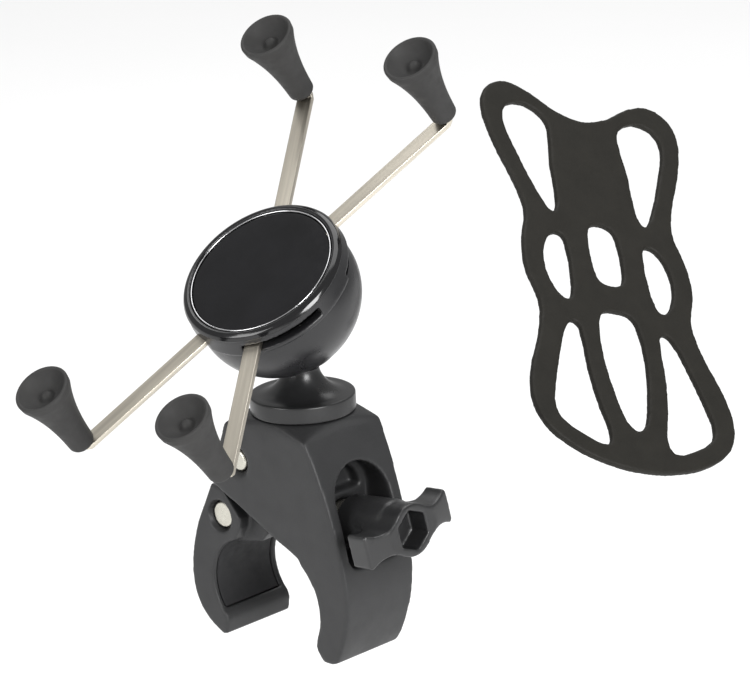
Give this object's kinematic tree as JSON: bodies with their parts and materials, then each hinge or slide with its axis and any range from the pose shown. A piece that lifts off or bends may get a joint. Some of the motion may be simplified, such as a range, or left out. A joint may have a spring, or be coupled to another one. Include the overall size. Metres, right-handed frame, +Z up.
{
  "type": "phone handlebar mount",
  "caption": "Screw-driven two-jaw bar clamp with a ball joint, a round hub and spring-closed gripping arms with rubber tips that hold a phone, with its flat rubber tether.",
  "frame": {"origin": "axis of the clamped bar, at the middle of the jaws' width", "axes": "+Z up the ball stud, +X towards the clamp knob, +Y along the clamped bar"},
  "size_m": [0.1055, 0.2878, 0.1725],
  "materials": {
    "body_plastic": "finely textured charcoal glass-filled plastic",
    "pad_rubber": "matt rubber liner",
    "ball_rubber": "smooth dense rubber skin",
    "hub_plastic": "satin black plastic",
    "label_gloss": "gloss black domed label, blank",
    "ring_silver": "thin bright ring",
    "stainless": "brushed stainless strip, warm tone",
    "nickel": "bright plated steel",
    "tip_rubber": "matt dark grey moulded rubber",
    "tether_rubber": "smooth black elastic rubber sheet"
  },
  "bodies": {
    "clamp": {"clamp_body": "body_plastic", "fixed_jaw_pad": "pad_rubber", "jaw_pivot_pin": "nickel", "ball_base": "body_plastic", "ball_cover": "ball_rubber", "stud_screw": "nickel", "tether": "tether_rubber"},
    "jaw": {"moving_jaw": "body_plastic", "moving_jaw_pad": "pad_rubber"},
    "nut": {"barrel_nut": "nickel"},
    "seat": {"swivel_seat": "nickel"},
    "screw": {"clamp_screw": "nickel", "retaining_clip": "nickel", "thrust_washer": "nickel", "trapped_nut": "nickel", "knob": "body_plastic"},
    "tilt_cup": {"friction_cup": "tip_rubber"},
    "swing_cup": {"pressure_cup": "nickel"},
    "hub": {"hub_dome": "hub_plastic", "hub_cover": "hub_plastic", "face_label": "label_gloss", "trim_ring": "ring_silver", "arm_pivot": "nickel", "arm_spring": "nickel", "cover_screw_left": "nickel", "cover_screw_right": "nickel"},
    "arm_upper": {"arm_strip_upper": "stainless", "grip_tip_bottom_right": "tip_rubber", "grip_tip_top_left": "tip_rubber"},
    "arm_lower": {"arm_strip_lower": "stainless", "grip_tip_top_right": "tip_rubber", "grip_tip_bottom_left": "tip_rubber"}
  },
  "joints": [
    {"name": "screw_swing", "type": "hinge", "parent": "clamp", "child": "seat", "pos_m": [0.0175, 0, 0.02456], "axis": [0, -1, 0], "range_deg": [0, 6.47]},
    {"name": "knob_turn", "type": "hinge", "parent": "seat", "child": "screw", "pos_m": [0.0175, 0, 0.02456], "axis": [-0.995, 0, -0.0997], "range_deg": [0, 2826]},
    {"name": "jaw_swing", "type": "hinge", "parent": "clamp", "child": "jaw", "pos_m": [-0.0113, 0, 0.04], "axis": [0, -1, 0], "range_deg": [0, 24]},
    {"name": "nut_turn", "type": "hinge", "parent": "jaw", "child": "nut", "pos_m": [-0.022, 0, 0.0206], "axis": [0, 1, 0], "range_deg": [0, 17.52]},
    {"name": "hub_tilt", "type": "hinge", "parent": "clamp", "child": "tilt_cup", "pos_m": [0.0022, 0, 0.0789], "axis": [0.9966, 0.0819, 0], "range_deg": [-77, 6]},
    {"name": "hub_swing", "type": "hinge", "parent": "tilt_cup", "child": "swing_cup", "pos_m": [0.0022, 0, 0.0789], "axis": [-0.0664, 0.8073, 0.5864], "range_deg": [-25, 25]},
    {"name": "hub_spin", "type": "hinge", "parent": "swing_cup", "child": "hub", "pos_m": [0.0022, 0, 0.0789], "axis": [0.048, -0.5844, 0.81], "continuous": true},
    {"name": "arm_upper_swing", "type": "hinge", "parent": "hub", "child": "arm_upper", "pos_m": [0.0022, 0, 0.0789], "axis": [0.048, -0.5844, 0.81], "range_deg": [0, 24], "stiffness_Nm_per_rad": 0.25, "springref_deg": -34.38},
    {"name": "arm_lower_swing", "type": "hinge", "parent": "hub", "child": "arm_lower", "pos_m": [0.0022, 0, 0.0789], "axis": [0.048, -0.5844, 0.81], "range_deg": [-24, 0]}
  ],
  "couplings": [
    {"joint": "jaw_swing", "follows": "knob_turn", "ratio": 0.0084926},
    {"joint": "screw_swing", "follows": "knob_turn", "ratio": 0.0022912},
    {"joint": "nut_turn", "follows": "knob_turn", "ratio": 0.0062013},
    {"joint": "arm_lower_swing", "follows": "arm_upper_swing", "ratio": -1}
  ]
}
